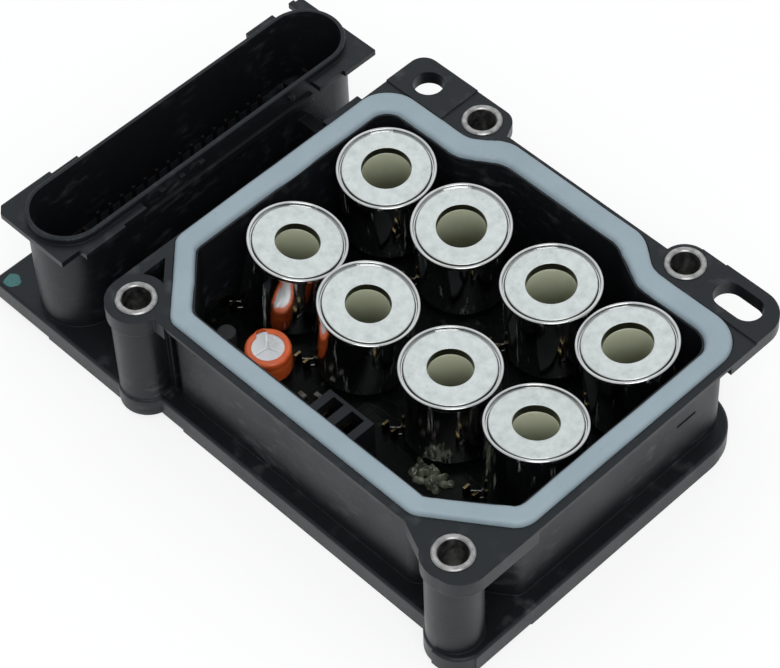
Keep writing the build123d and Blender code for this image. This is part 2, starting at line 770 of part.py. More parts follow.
def flat_package(x, width, length, height):
    """A moulded component body on the board, between the rows of coils, with its top edges cut."""
    body = slab(Pos(x, CHIP_Y) * Rectangle(width, length), board_top_z, board_top_z + height)
    return chamfer(body.edges().group_by(Axis.Z)[-1], height / 6)


def power_transistors():
    """Two power transistors that switch the pump motor."""
    return [
        flat_package(side * TRANSISTOR_PITCH, TRANSISTOR_W, TRANSISTOR_L, TRANSISTOR_H)
        for side in (-0.5, 0.5)
    ]


def small_parts():
    """Small resistors and capacitors along the front edge of the board."""
    width, length, height = SMALL_PART
    places = [(HOLDER_LEFT_X - 4 - step * 2.6, CAP_Y - 1 + step % 2 * 2.2) for step in range(3)]
    places += [(HOLDER_LEFT_X + HOLDER_W + 3 + step * 2.9, CAP_Y - 5 + step % 2 * 2.0) for step in range(5)]
    return [slab(Pos(x, y) * Rectangle(width, length), board_top_z, board_top_z + height) for x, y in places]


def adhesive_beads():
    """Drops of cured sealant at the front of the third coil."""
    group = []
    for step in range(3):
        x = COLUMNS_X[2] + 2.5 + step * 2.2 * BEAD_R
        y = CAP_Y + 1.6 + step % 2 * BEAD_R
        drop = Pos(x, y, board_top_z) * Sphere(BEAD_R)
        group.append(drop - slab(disc(x, y, 2 * BEAD_R), board_top_z - 2 * BEAD_R, board_top_z))
    return group


def connector_pins():
    """Two rows of square pins, and two wide blades at each end, that stand on the socket's floor."""
    floor = -SOCKET_FLOOR_DEPTH
    group = []
    first = SOCKET_FRONT_Y + PIN_END_GAP
    last = SOCKET_BACK_Y - PIN_END_GAP
    for side in (-0.5, 0.5):
        for step in range(int((last - first) / PIN_PITCH) + 1):
            place = Pos(SOCKET_X + side * PIN_ROW_PITCH, first + step * PIN_PITCH)
            group.append(slab(place * Rectangle(PIN_W, PIN_W), floor, -PIN_TOP_DEPTH))
    for y in (SOCKET_FRONT_Y - 1, SOCKET_BACK_Y + 1 - BLADE_PITCH):
        for step in range(2):
            place = Pos(SOCKET_X, y + step * BLADE_PITCH)
            group.append(slab(place * Rectangle(BLADE_W, BLADE_T), floor, -PIN_TOP_DEPTH))
    return group


def save(name, shape):
    """Write one sub-part; a list is a group of separate solids in one file."""
    if isinstance(shape, list):
        shape = Compound(children=[solid for piece in shape for solid in piece.solids()])
    export_step(shape, f"parts/{name}.step")


os.makedirs("parts", exist_ok=True)
save("housing", housing())
save("base_cover", base_cover())
save("gasket", gasket())
save("circuit_board", circuit_board())
bush_names = ("front_left_bush", "front_right_bush", "rear_left_bush", "rear_right_bush")
for name, (x, y, radius) in zip(bush_names, bush_places()):
    save(name, Pos(x, y, 0) * bush())
for number, (column, row, lean, bore_d) in enumerate(coil_seats()):
    name = f"{'rear' if number < len(COLUMNS_X) else 'front'}_coil_{number % len(COLUMNS_X) + 1}"
    place = coil_place(column, row, lean)
    save(f"{name}_can", place * coil_can(bore_d))
    save(f"{name}_washer", place * coil_washer(bore_d))
    save(f"{name}_bobbin", coil_bobbin(bore_d, place))
    save(f"{name}_winding", place * coil_winding(bore_d))
save("capacitor_can", capacitor_can())
save("capacitor_sleeve", capacitor_sleeve())
save("board_peg", board_peg())
save("motor_socket", motor_socket())
save("motor_contacts", motor_contacts())
save("coil_tabs", coil_tabs())
save("coil_leads", coil_leads())
save("controller_chip", flat_package(CHIP_X, CHIP_SIZE, CHIP_SIZE, CHIP_H))
save("driver_chip", flat_package(DRIVER_X, DRIVER_W, CHIP_SIZE, CHIP_H))
save("power_transistors", power_transistors())
save("small_parts", small_parts())
save("adhesive_beads", adhesive_beads())
save("connector_pins", connector_pins())
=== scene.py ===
import bmesh
import bpy
import numpy as np
from mathutils import Matrix, Vector


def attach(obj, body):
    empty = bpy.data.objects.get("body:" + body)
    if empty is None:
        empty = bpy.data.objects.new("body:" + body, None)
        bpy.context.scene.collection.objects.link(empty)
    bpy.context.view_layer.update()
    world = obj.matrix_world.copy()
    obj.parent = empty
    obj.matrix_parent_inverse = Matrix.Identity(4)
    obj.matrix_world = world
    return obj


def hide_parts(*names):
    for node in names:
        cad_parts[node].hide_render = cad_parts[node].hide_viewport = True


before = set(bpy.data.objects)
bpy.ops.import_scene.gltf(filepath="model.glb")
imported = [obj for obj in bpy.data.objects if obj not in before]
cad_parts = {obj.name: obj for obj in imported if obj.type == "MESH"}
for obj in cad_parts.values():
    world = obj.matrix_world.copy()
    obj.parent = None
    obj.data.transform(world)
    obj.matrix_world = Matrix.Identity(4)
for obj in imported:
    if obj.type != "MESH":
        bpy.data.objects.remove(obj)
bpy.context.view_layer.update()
MM = 0.001

# Housing. One injection moulding of black glass-filled nylon: sealing flange, ears, posts, foot and
# plug shroud. Its faces keep the fine eroded texture of the mould, with scuffs where the part has been
# handled, and are painted pale along the edges, partly rubbing and partly a painted highlight.
HOUSING_BLACK = (0.0092, 0.0099, 0.0115, 1)
# The scuff colour also paints the edges paler, as a painted highlight along the rounded edges.
HOUSING_SCUFF_AND_EDGE_LIGHT = (0.085, 0.088, 0.094, 1)
SHEEN_TINT = (0.84, 0.94, 1.0, 1)
GRAIN_SCALE, FLOW_SCALE, SPECK_SCALE = 2600.0, 48.0, 760.0
SCUFF_STRETCH = (240.0, 240.0, 460.0)
SKY_REACH = 0.03


def make_node(material, kind, settings=None, **sockets):
    """One shader node. A socket takes a number, a colour, or the output of another node."""
    made = material.node_tree.nodes.new("ShaderNode" + kind)
    for name, value in (settings or {}).items():
        setattr(made, name, value)
    for name, value in sockets.items():
        key = int(name[1:]) if name[0] == "_" else name.replace("_", " ")
        if isinstance(value, bpy.types.NodeSocket):
            material.node_tree.links.new(value, made.inputs[key])
        else:
            made.inputs[key].default_value = value
    return made


def new_finish(name):
    """An empty finish: the material, its surface shader and the object's own coordinates."""
    material = bpy.data.materials.new(name)
    material.use_nodes = True
    shader = material.node_tree.nodes["Principled BSDF"]
    where = make_node(material, "TexCoord").outputs["Object"]
    return material, shader, where


def set_values(shader, **values):
    """Plain numbers or colours on the shader's own sockets."""
    for name, value in values.items():
        shader.inputs[name.replace("_", " ")].default_value = value


def link(material, output, shader, socket):
    material.node_tree.links.new(output, shader.inputs[socket])


def to_range(material, value, low, high, start=0.0, end=1.0):
    """A value between start and end turned into the range from low to high, held at its ends."""
    spread = make_node(material, "MapRange", _0=value, _1=start, _2=end, _3=low, _4=high)
    return spread.outputs[0]


def blend_colours(material, fac, plain, mixed_in):
    """Two colours mixed by a factor."""
    return make_node(material, "Mix", {"data_type": "RGBA"}, _0=fac, _6=plain, _7=mixed_in).outputs[2]


def maths(material, operation, *values, clamp=False):
    """The result of one sum on numbers or masks."""
    sockets = {f"_{place}": value for place, value in enumerate(values)}
    settings = {"operation": operation, "use_clamp": clamp}
    return make_node(material, "Math", settings, **sockets).outputs[0]


def noise(material, where, scale, detail, roughness=0.5):
    """Fractal noise of about 0.3 to 0.7."""
    made = make_node(material, "TexNoise", Vector=where, Scale=scale, Detail=detail, Roughness=roughness)
    return made.outputs[0]


def stretched(material, where, scale, turn=0.0):
    """Coordinates scaled apart along the axes and turned about z."""
    return make_node(material, "Mapping", Vector=where, Scale=scale, Rotation=(0, 0, turn)).outputs[0]


def cell_mask(material, where, scale, start, end, most=1.0, settings=None, **sockets):
    """The most near the middle of each Voronoi cell, falling to 0.0 between start and end from it."""
    cells = make_node(material, "TexVoronoi", settings, Vector=where, Scale=scale, **sockets)
    return to_range(material, cells.outputs["Distance"], most, 0.0, start, end)


def relief(material, shader, *layers, over=None):
    """Bumps laid one over the other. Each layer is a height, a strength and a distance in metres."""
    for height, strength, distance in layers:
        below = {"Normal": over} if over else {}
        bump = make_node(material, "Bump", Height=height, Strength=strength, Distance=distance, **below)
        over = bump.outputs[0]
    link(material, over, shader, "Normal")


def moulded_black(name, colour, scuff_and_edge_light, roughness, grain, edge, dust_and_edge_light=1.0):
    """Black moulded plastic: eroded grain, cloudy flow marks, pale scuffs, and edges painted pale, partly
    rubbing and partly a painted highlight. It shines less where other faces shut out the light, as deep in
    the shroud."""
    material, shader, where = new_finish(name)
    fine = noise(material, where, GRAIN_SCALE, 3.0, 0.6)
    cloud = noise(material, where, FLOW_SCALE, 5.0, 0.55)
    lines = noise(material, stretched(material, where, SCUFF_STRETCH), 1.0, 4.0)
    rubbed = to_range(material, lines, 0.0, 0.7 * dust_and_edge_light, 0.54, 0.76)
    broad = to_range(material, cloud, 0.0, 1.0, 0.42, 0.66)
    dots = maths(material, "MULTIPLY", cell_mask(material, where, SPECK_SCALE, 0.04, 0.12), broad)
    marks = maths(material, "MULTIPLY", rubbed, broad)
    marks = maths(material, "MULTIPLY_ADD", dots, 0.35 * dust_and_edge_light, marks)

    round_edge = make_node(material, "Bevel", {"samples": 4}, Radius=edge).outputs[0]
    flat = make_node(material, "NewGeometry").outputs["True Normal"]
    turn = make_node(material, "VectorMath", {"operation": "DOT_PRODUCT"}, _0=round_edge, _1=flat)
    # Painted highlight: along rounded edges, where the bevelled normal turns from the true one, the colour is
    # painted paler, mixed with rubbing along the scuff lines.
    corner = to_range(material, turn.outputs["Value"], 0.28 * dust_and_edge_light, 0.0, 0.78, 0.97)
    rub_and_edge_light = maths(material, "MULTIPLY", corner, to_range(material, lines, 0.25, 1.0, 0.35, 0.65))
    mixed_in = maths(material, "ADD", marks, rub_and_edge_light, clamp=True)
    link(material, blend_colours(material, mixed_in, colour, scuff_and_edge_light), shader, "Base Color")

    dull = to_range(material, cloud, roughness - 0.05, roughness + 0.09, 0.3, 0.7)
    link(material, dull, shader, "Roughness")
    relief(material, shader, (fine, grain, 0.0002), (cloud, 0.4, 0.0006), over=round_edge)
    open_sky = make_node(material, "AmbientOcclusion", {"samples": 6}, Distance=SKY_REACH).outputs["AO"]
    link(material, to_range(material, open_sky, 0.10, 0.34, 0.12, 0.5), shader, "Specular IOR Level")
    set_values(shader, Specular_Tint=SHEEN_TINT)
    return material


def dress(node, material):
    """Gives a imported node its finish."""
    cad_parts[node].material_slots[0].material = material


dress("housing", moulded_black("moulded_nylon", HOUSING_BLACK, HOUSING_SCUFF_AND_EDGE_LIGHT, 0.36, 0.32, 0.00032))

# Base cover. A flat lid of the same black nylon, a little smoother, welded under the foot. It shows as a
# thin dark step below the foot's edge.
LID_BLACK = (0.0085, 0.009, 0.0105, 1)

dress("base_cover", moulded_black("lid_nylon", LID_BLACK, HOUSING_SCUFF_AND_EDGE_LIGHT, 0.42, 0.25, 0.0002))

# Paint dot. The teal spot that marks a tested unit, dabbed by hand on the corner of the plate that
# carries the plug socket. It is a low drop with an uneven edge, sunk a little into the plate.
DOT_AT = (-87.2, -2.5, -26.6)
DOT_RADIUS = 1.9
DOT_HEIGHT = 0.12
DOT_SINK = 0.4
DOT_RINGS = 14
TEAL_DEEP, TEAL_PALE = (0.025, 0.12, 0.12, 1), (0.065, 0.23, 0.225, 1)


def surface(name, points, closed_u=False, closed_v=False, plane=None):
    """A mesh from a grid of points [rows, columns, 3] in millimetres. Rows run along u and columns
    along v; a closed direction joins its last line to its first, and merged lines close the poles.
    The optional plane [rows, columns, 2] is kept as the UV map."""
    rows, columns = points.shape[:2]
    u = np.arange(rows if closed_u else rows - 1)
    v = np.arange(columns if closed_v else columns - 1)
    near, along = (grid.ravel() for grid in np.meshgrid(u, v, indexing="ij"))
    far, next_along = (near + 1) % rows, (along + 1) % columns
    quads = np.stack([near * columns + along, far * columns + along,
                      far * columns + next_along, near * columns + next_along], axis=1)
    mesh = bpy.data.meshes.new(name)
    mesh.from_pydata((points.reshape(-1, 3) * MM).tolist(), [], quads.tolist())
    if plane is not None:
        flat = plane.reshape(-1, 2)[quads.ravel()]
        mesh.uv_layers.new(name="face").data.foreach_set("uv", flat.ravel())
    work = bmesh.new()
    work.from_mesh(mesh)
    bmesh.ops.remove_doubles(work, verts=work.verts, dist=1e-7)
    bmesh.ops.dissolve_degenerate(work, edges=work.edges, dist=1e-8)
    bmesh.ops.recalc_face_normals(work, faces=work.faces)
    work.to_mesh(mesh)
    work.free()
    mesh.polygons.foreach_set("use_smooth", np.ones(len(mesh.polygons), bool))
    piece = bpy.data.objects.new(name, mesh)
    bpy.context.collection.objects.link(piece)
    return piece


def fit(piece, material, slot, *nodes):
    """The piece gets its finish, rides on the housing and stands for the named nodes."""
    piece.data.materials.append(material)
    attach(piece, "root")
    if nodes:
        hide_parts(*nodes)
    return piece


def paint_drop():
    """At angle a and share s of the reach, the radius is R s (1 + 0.06 sin(3a + 1) + 0.04 sin 5a
    + 0.02 sin(9a + 2)) and the height H sqrt(1 - s^4). The last ring goes down into the plate."""
    a = np.linspace(0, 2 * np.pi, 72, endpoint=False)[:, None]
    share = np.linspace(0, 1, DOT_RINGS)
    level = np.append(np.sqrt(1 - share ** 4), -DOT_SINK)[None, :]
    share = np.append(share, 1)[None, :]
    edge = DOT_RADIUS * (1 + 0.06 * np.sin(3 * a + 1) + 0.04 * np.sin(5 * a) + 0.02 * np.sin(9 * a + 2))
    return np.stack([DOT_AT[0] + edge * share * np.cos(a), DOT_AT[1] + edge * share * np.sin(a),
                     DOT_AT[2] + DOT_HEIGHT * level + 0 * a], axis=2)


teal, shader, where = new_finish("teal_paint")
link(teal, blend_colours(teal, noise(teal, where, 1400.0, 4.0), TEAL_DEEP, TEAL_PALE), shader, "Base Color")
set_values(shader, Roughness=0.42)
fit(surface("paint_dot", paint_drop(), closed_u=True), teal, "housing_plastic")

# Fixing bushes. Zinc-plated steel sleeves, pressed into the posts, which keep the plastic from being
# crushed by the screws. Their upper ends show fine turned rings round the bore.
BUSH_PLACES = {"front_left": (-45.7, 0), "front_right": (45.7, 0),
               "rear_left": (-29.2, 85), "rear_right": (29.2, 85)}
BUSH_OUTER, BUSH_BORE, BUSH_LENGTH = 4.5, 3.1, 31.4
BUSH_EDGE, BUSH_FOOT_EDGE = 0.3, 0.25
TURNING_RINGS = 260.0
ZINC_DEEP, ZINC_PALE = (0.26, 0.26, 0.255, 1), (0.50, 0.50, 0.49, 1)


def soft_line(points, radii, arc_steps, run_steps=2, closed=True):
    """A line through corners with each corner rounded. With unit vectors a and b from the corner to
    its neighbours and w half the angle between them, the arc of radius r starts r/tan w along a, ends
    r/tan w along b, and its centre is r/sin w along a + b. Straight runs get run_steps points."""
    points = np.asarray(points, float)
    radii = np.asarray(radii, float)[:, None]
    a = np.roll(points, 1, axis=0) - points
    b = np.roll(points, -1, axis=0) - points
    if not closed:
        a[0], b[-1] = -b[0], -a[-1]
    a /= np.linalg.norm(a, axis=1, keepdims=True)
    b /= np.linalg.norm(b, axis=1, keepdims=True)
    half = np.arccos(np.clip((a * b).sum(axis=1, keepdims=True), -1, 1)) / 2
    straight = half > np.pi / 2 - 1e-4
    half = np.where(straight, np.pi / 4, half)
    radii = np.where(straight, 0, radii)
    middle = a + b
    middle /= np.maximum(np.linalg.norm(middle, axis=1, keepdims=True), 1e-9)
    centre = points + middle * radii / np.sin(half)
    first = points + a * radii / np.tan(half) - centre
    last = points + b * radii / np.tan(half) - centre
    turn = np.pi - 2 * half
    s = np.linspace(0, 1, arc_steps)[None, :, None]
    turn = turn[:, :, None]
    arc = (np.sin((1 - s) * turn) * first[:, None] + np.sin(s * turn) * last[:, None]) / np.sin(turn)
    arc = arc + centre[:, None]
    arc = np.where(radii[:, :, None] > 0, arc, points[:, None] + 0 * s)
    ends = np.roll(arc[:, 0], -1, axis=0)[:, None]
    t = np.linspace(0, 1, run_steps + 1, endpoint=False)[None, 1:, None]
    runs = arc[:, -1:] * (1 - t) + ends * t
    whole = np.concatenate([arc, runs], axis=1).reshape(-1, points.shape[1])
    return whole if closed else whole[:len(whole) - run_steps]


def set_down(points, place):
    """Points of a piece's own frame, taken to their place."""
    matrix = np.array(place)
    return points @ matrix[:3, :3].T + matrix[:3, 3]


def turned(name, section, place=Matrix(), sections=96, ripple=0.0, waves=5, lowest=None, tear=None):
    """A body of revolution. Point (r, z) of the section at angle a goes to (r cos a, r sin a, z) in
    the piece's own frame, with the outer half's r made uneven by ripple cos(waves a), then to its
    place, where no height goes under the lowest. A tear at angle t, of half width w, draws what lies
    inside radius q in the top fifth out to it: r + max(q - r, 0) exp(-((a - t) / w)^4). The UV map
    is (r cos a, r sin a) in centimetres."""
    radius, height = section[None, :, 0], section[None, :, 1]
    a = np.linspace(0, 2 * np.pi, sections, endpoint=False)[:, None]
    grown = radius * (1 + ripple * np.cos(waves * a) * (radius > 0.5 * section[:, 0].max()))
    if tear:
        share = np.exp(-(((a - tear[0]) / tear[1]) ** 4)) * (height > 0.8 * section[:, 1].max())
        grown = grown + np.maximum(tear[2] - grown, 0) * share
    points = np.stack([grown * np.cos(a), grown * np.sin(a), height + 0 * a], axis=2)
    plane = points[:, :, :2] * 0.1
    points = set_down(points, place)
    if lowest is not None:
        points[:, :, 2] = np.maximum(points[:, :, 2], lowest)
    ring = section[:, 0].min() > 0
    return surface(name, points, closed_u=True, closed_v=ring, plane=plane)


bush_section = soft_line(
    [(BUSH_BORE, -BUSH_LENGTH), (BUSH_OUTER - BUSH_FOOT_EDGE, -BUSH_LENGTH),
     (BUSH_OUTER, -BUSH_LENGTH + BUSH_FOOT_EDGE), (BUSH_OUTER, -BUSH_EDGE), (BUSH_OUTER - BUSH_EDGE, 0),
     (BUSH_BORE + BUSH_EDGE, 0), (BUSH_BORE, -BUSH_EDGE)],
    [0.05, 0.05, 0.05, 0.15, 0.15, 0.15, 0.15], 4, 6)
zinc, shader, where = new_finish("turned_zinc")
face = make_node(zinc, "UVMap", {"uv_map": "face"}).outputs[0]
span = make_node(zinc, "VectorMath", {"operation": "LENGTH"}, _0=face).outputs["Value"]
grooves = maths(zinc, "SINE", maths(zinc, "MULTIPLY", span, TURNING_RINGS))
cloud = noise(zinc, where, 700.0, 5.0)
link(zinc, blend_colours(zinc, to_range(zinc, cloud, 0, 1, 0.35, 0.68), ZINC_DEEP, ZINC_PALE), shader, "Base Color")
link(zinc, to_range(zinc, cloud, 0.26, 0.46, 0.3, 0.7), shader, "Roughness")
set_values(shader, Metallic=1.0)
relief(zinc, shader, (grooves, 0.16, 0.00003), (cloud, 0.3, 0.00005))
for name, (x, y) in BUSH_PLACES.items():
    bush = turned(f"{name}_sleeve", bush_section, Matrix.Translation((x, y, 0)))
    fit(bush, zinc, "bush_steel", f"{name}_bush")

# Circuit board. Glass-fibre laminate under dark green solder mask, clamped on the ledge inside the
# walls. Copper tracks show through the mask as faint raised lines, with tinned pads between them.
MASK_GREEN, TRACK_GREEN = (0.0010, 0.0018, 0.0013, 1), (0.0022, 0.0042, 0.003, 1)
PAD_TIN = (0.018, 0.018, 0.015, 1)

board, shader, where = new_finish("solder_mask")
flat = stretched(board, where, (1.0, 1.0, 0.0))
copper = cell_mask(board, flat, 330.0, 0.05, 0.09, settings={"feature": "DISTANCE_TO_EDGE"})
tinned = cell_mask(board, flat, 240.0, 0.10, 0.115, settings={"distance": "CHEBYCHEV"}, Randomness=0.55)
tone = blend_colours(board, tinned, blend_colours(board, copper, MASK_GREEN, TRACK_GREEN), PAD_TIN)
link(board, tone, shader, "Base Color")
set_values(shader, Roughness=0.38, Specular_IOR_Level=0.07)
relief(board, shader, (copper, 0.5, 0.00005))
dress("circuit_board", board)

# Packages on the board. Black epoxy mouldings with a matt top, soldered between the rows of coils, and
# small brown ceramic parts with tinned ends along the front.
# The scuff colour also paints the package edges paler, a painted highlight.
EPOXY_BLACK, EPOXY_SCUFF_AND_EDGE_LIGHT = (0.014, 0.014, 0.014, 1), (0.05, 0.05, 0.05, 1)
CERAMIC_BROWN, CERAMIC_ENDS = (0.05, 0.038, 0.026, 1), (0.13, 0.13, 0.115, 1)

epoxy = moulded_black("epoxy_black", EPOXY_BLACK, EPOXY_SCUFF_AND_EDGE_LIGHT, 0.5, 0.5, 0.00015, 0.4)
for name in ("controller_chip", "driver_chip", "power_transistors"):
    dress(name, epoxy)
ceramic, shader, where = new_finish("ceramic_body")
ends = to_range(ceramic, noise(ceramic, where, 900.0, 2.0), 0, 1, 0.45, 0.55)
link(ceramic, blend_colours(ceramic, ends, CERAMIC_BROWN, CERAMIC_ENDS), shader, "Base Color")
set_values(shader, Roughness=0.45)
dress("small_parts", ceramic)

# Motor capacitor. A drawn aluminium can in a shrunk orange film, soldered to the board a little out of
# true. The film turns in over the rim, is torn at one place and leaves the top bare, where the vent is
# scored in three arms.
CAP_AT = (-26.2, 17.6, -21.2)
CAP_LEAN = (2.2, 3.0)
CAP_RADIUS, CAP_HEIGHT, CAP_TOP = 5.0, 6.6, 3.5
FILM_TEAR = (2.75, 0.30, 4.85)
FILM_INNER = CAP_RADIUS - 0.6
CREASE_LOW, CREASE_MIDDLE, CREASE_HIGH, CREASE_DEPTH = 4.0, 4.55, 5.1, 0.08
CAN_TOP_RADIUS, CAN_TOP_DROP, CAN_TOP_ROUND = 4.3, 0.32, 0.25
VENT_ARMS, VENT_WIDTH, VENT_DEPTH = (20, 140, 260), 0.13, 0.10
ORANGE_DEEP, ORANGE_PALE = (0.74, 0.105, 0.022, 1), (0.86, 0.165, 0.040, 1)
ALUMINIUM_DEEP, ALUMINIUM_PALE = (0.66, 0.68, 0.70, 1), (0.84, 0.86, 0.88, 1)

cap_turn = Matrix.Rotation(np.radians(CAP_LEAN[1]), 4, "Y") @ Matrix.Rotation(np.radians(CAP_LEAN[0]), 4, "X")
cap_place = Matrix.Translation(CAP_AT) @ cap_turn
film_section = soft_line(
    [(CAP_RADIUS - 0.1, 0.25), (CAP_RADIUS, 0.4), (CAP_RADIUS, CREASE_LOW),
     (CAP_RADIUS - CREASE_DEPTH, CREASE_MIDDLE), (CAP_RADIUS, CREASE_HIGH), (CAP_RADIUS, CAP_HEIGHT),
     (CAP_TOP, CAP_HEIGHT - 0.05), (CAP_TOP, CAP_HEIGHT - 0.3), (FILM_INNER, CAP_HEIGHT - 0.5),
     (FILM_INNER, 0.25)],
    [0.1, 0.2, 0.4, 0.35, 0.4, 0.75, 0.06, 0.05, 0.1, 0.1], 7, 3)
film = turned("capacitor_film", film_section, cap_place, 120, 0.004, 3, tear=FILM_TEAR)
orange, shader, where = new_finish("orange_film")
crease = noise(orange, where, 420.0, 4.0)
tone = blend_colours(orange, to_range(orange, crease, 0, 1, 0.3, 0.7), ORANGE_DEEP, ORANGE_PALE)
link(orange, tone, shader, "Base Color")
set_values(shader, Roughness=0.36, Coat_Weight=0.25, Coat_Roughness=0.2)
relief(orange, shader, (crease, 0.35, 0.0002))
fit(film, orange, "capacitor_film", "capacitor_sleeve")


def scored_top(radius, low, top):
    """The can's top: height is the top less a groove of gaussian section along each of three arms at
    120 degrees, g = d exp(-(distance/w)^2), with a rounded rim that runs down the wall, and a
    slight saddle, 0.05 cos(2a) r/R."""
    a = np.linspace(0, 2 * np.pi, 120, endpoint=False)[:, None]
    flat_end = radius - CAN_TOP_ROUND
    r = np.concatenate([np.linspace(0, flat_end, 40), np.full(8, flat_end)])[None, :]
    rim = np.concatenate([np.zeros(40), np.linspace(0, np.pi / 2, 8)])[None, :]
    reach = r + CAN_TOP_ROUND * np.sin(rim)
    dip = np.zeros((120, 48))
    for arm in np.radians(VENT_ARMS):
        along = reach * np.cos(a - arm)
        aside = reach * np.sin(a - arm)
        dip += np.where(along > -0.2, np.exp(-(aside / VENT_WIDTH) ** 2), 0) * (reach < radius - 0.5)
    saddle = 0.05 * np.cos(2 * a) * reach / radius
    height = top - VENT_DEPTH * np.minimum(dip, 1) - CAN_TOP_ROUND * (1 - np.cos(rim)) + saddle
    wall = np.stack([reach * np.cos(a), reach * np.sin(a), height], axis=2)
    foot = wall[:, -1:].copy()
    foot[:, :, 2] = low
    hub = np.zeros_like(foot)
    hub[:, :, 2] = low
    return np.concatenate([wall, foot, hub], axis=1)


points = set_down(scored_top(CAN_TOP_RADIUS, 0.05, CAP_HEIGHT - CAN_TOP_DROP), cap_place)
can = surface("capacitor_top", points, closed_u=True)
drawn, shader, where = new_finish("drawn_aluminium")
grain = noise(drawn, where, 1500.0, 5.0)
link(drawn, blend_colours(drawn, grain, ALUMINIUM_DEEP, ALUMINIUM_PALE), shader, "Base Color")
link(drawn, to_range(drawn, grain, 0.36, 0.52, 0.3, 0.7), shader, "Roughness")
set_values(shader, Metallic=0.9)
relief(drawn, shader, (grain, 0.2, 0.00005))
fit(can, drawn, "capacitor_aluminium", "capacitor_can")

# Peg and motor socket. Black nylon mouldings that stand on the board: a plain round peg beside the
# capacitor, and the block with two pockets that takes the blades of the pump motor. The contacts in
# the pockets and the coils' weld tabs are spring bronze, painted nearly black for the shade they stand in.
PEG_AT, PEG_RADIUS, PEG_HEIGHT = (-34.8, 13.8, -21.2), 2.1, 7.2
PEG_BLACK, SOCKET_BLACK = (0.030, 0.031, 0.033, 1), (0.010, 0.010, 0.012, 1)
# Painted shade: both bronze colours are kept nearly black for the shade that the contacts and tabs stand in.
BRONZE_DEEP, BRONZE_PALE = (0.045, 0.033, 0.015, 1), (0.15, 0.115, 0.058, 1)

peg_section = soft_line([(0, 0), (PEG_RADIUS, 0), (PEG_RADIUS, PEG_HEIGHT), (0, PEG_HEIGHT)],
                        [0, 0.05, 0.4, 0], 8, 4, closed=False)
peg = turned("peg_moulding", peg_section, Matrix.Translation(PEG_AT), 64)
peg_nylon = moulded_black("peg_nylon", PEG_BLACK, HOUSING_SCUFF_AND_EDGE_LIGHT, 0.5, 0.4, 0.0002, 0.6)
fit(peg, peg_nylon, "peg_plastic", "board_peg")
dress("motor_socket", moulded_black("holder_nylon", SOCKET_BLACK, HOUSING_SCUFF_AND_EDGE_LIGHT, 0.44, 0.35, 0.0002, 0.5))
spring, shader, where = new_finish("spring_bronze")
bronze_mottle = noise(spring, where, 600.0, 4.0)
tone = blend_colours(spring, to_range(spring, bronze_mottle, 0, 1, 0.35, 0.65), BRONZE_DEEP, BRONZE_PALE)
link(spring, tone, shader, "Base Color")
link(spring, to_range(spring, bronze_mottle, 0.18, 0.35, 0.3, 0.7), shader, "Roughness")
set_values(shader, Metallic=1.0)
dress("motor_contacts", spring)
dress("coil_tabs", spring)

# Coils. Each is a deep-drawn steel cup, nickel bright, with its rim rolled in round a pole washer punched
# from zinc-plated plate and a narrow groove between them. Inside is a cream bobbin wound with enamelled
# copper. They lean as they stand.
COLUMNS = (-35.65, -13.0, 13.2, 36.5)
COIL_ROWS = {
    "rear": (62.45, ((4.4, -4.4), (5.1, -6.1), (-0.4, -1.6), (-4.7, -3.6)), 5.35),
    "front": (31.85, ((8.0, 5.3), (8.0, 0.7), (1.1, 0.1), (-2.6, 5.4)), 4.8),
}
SEAT = 20.0
CAN_R, CAN_INNER, CAN_LENGTH = 10.4, 9.5, 19.5
RIM_R, RIM_LIP, RIM_LOW, RIM_STEP = 10.8, 10.12, -1.5, -1.0
GROOVE_LOW = -0.8
WASHER_R, WASHER_GAP, WASHER_TOP, WASHER_LOW = 9.7, 0.1, -0.25, -2.15
WASHER_SEAT = -2.2
TUBE_GAP, TUBE_WALL = 0.2, 0.9
TUBE_LOW, BOBBIN_FOOT, BOBBIN_TOP = -21.1, -21.15, -2.55
NICKEL_DEEP, NICKEL_PALE = (0.56, 0.57, 0.57, 1), (0.74, 0.75, 0.74, 1)
ZINC_CLEAN, ZINC_STAINED = (0.695, 0.745, 0.735, 1), (0.35, 0.385, 0.365, 1)
# Painted shade for the washers' side faces.
WASHER_WALL_SHADE = (0.13, 0.135, 0.10, 1)
CREAM_SHADE, CREAM_LIT = (0.27, 0.29, 0.195, 1), (0.72, 0.75, 0.57, 1)
CREAM_SCATTER = (0.0012, 0.0012, 0.0007)
COPPER_DEEP, COPPER_PALE = (0.22, 0.06, 0.02, 1), (0.62, 0.24, 0.10, 1)

can_section = soft_line(
    [(CAN_INNER, -CAN_LENGTH), (CAN_R, -CAN_LENGTH), (CAN_R, RIM_LOW), (RIM_R, RIM_STEP), (RIM_R, 0),
     (RIM_LIP, 0), (RIM_LIP, GROOVE_LOW), (WASHER_R + WASHER_GAP, GROOVE_LOW),
     (WASHER_R + WASHER_GAP, WASHER_SEAT), (CAN_INNER, WASHER_SEAT)],
    [0.1, 0.9, 0.5, 0.4, 0.30, 0.22, 0.1, 0.05, 0.05, 0.05], 9, 10)

nickel, shader, where = new_finish("drawn_nickel")
drag = noise(nickel, stretched(nickel, where, (260.0, 260.0, 34.0)), 1.0, 5.0, 0.62)
stain = noise(nickel, where, 110.0, 6.0, 0.6)
